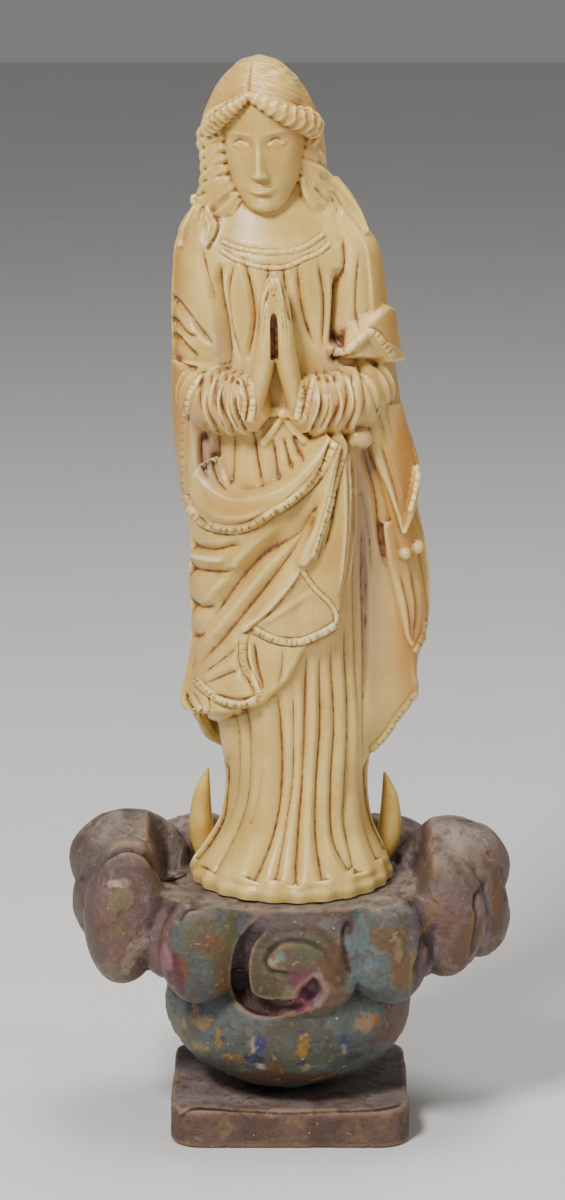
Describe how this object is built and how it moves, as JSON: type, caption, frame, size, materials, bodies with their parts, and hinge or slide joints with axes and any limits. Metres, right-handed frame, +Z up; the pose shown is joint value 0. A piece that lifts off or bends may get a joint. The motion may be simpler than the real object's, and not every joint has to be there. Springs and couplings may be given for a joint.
{
  "type": "ivory statuette",
  "caption": "Carved ivory figure of a praying woman in a long robe and mantle between the tips of a crescent, on a painted wooden pedestal of scrolling clouds over a globe and a slab plinth.",
  "frame": {"origin": "middle of the plinth's underside", "axes": "+Z up, -Y the front that the figure faces, +X to the viewer's right"},
  "size_m": [0.102, 0.0629, 0.245],
  "materials": {
    "ivory": "aged carved ivory, softly polished, with brown dirt in the folds",
    "yellow_ivory": "smooth honey-yellow ivory, softly polished",
    "painted_wood": "worn polychrome over gesso on carved wood, flaked, satin",
    "plinth_paint": "worn brown-mauve paint on wood, rubbed at the edges"
  },
  "bodies": {
    "root": {"ivory_figure": "ivory", "crescent_horn_left": "yellow_ivory", "crescent_horn_right": "yellow_ivory", "cloud_pedestal": "painted_wood", "plinth": "plinth_paint"}
  },
  "joints": []
}
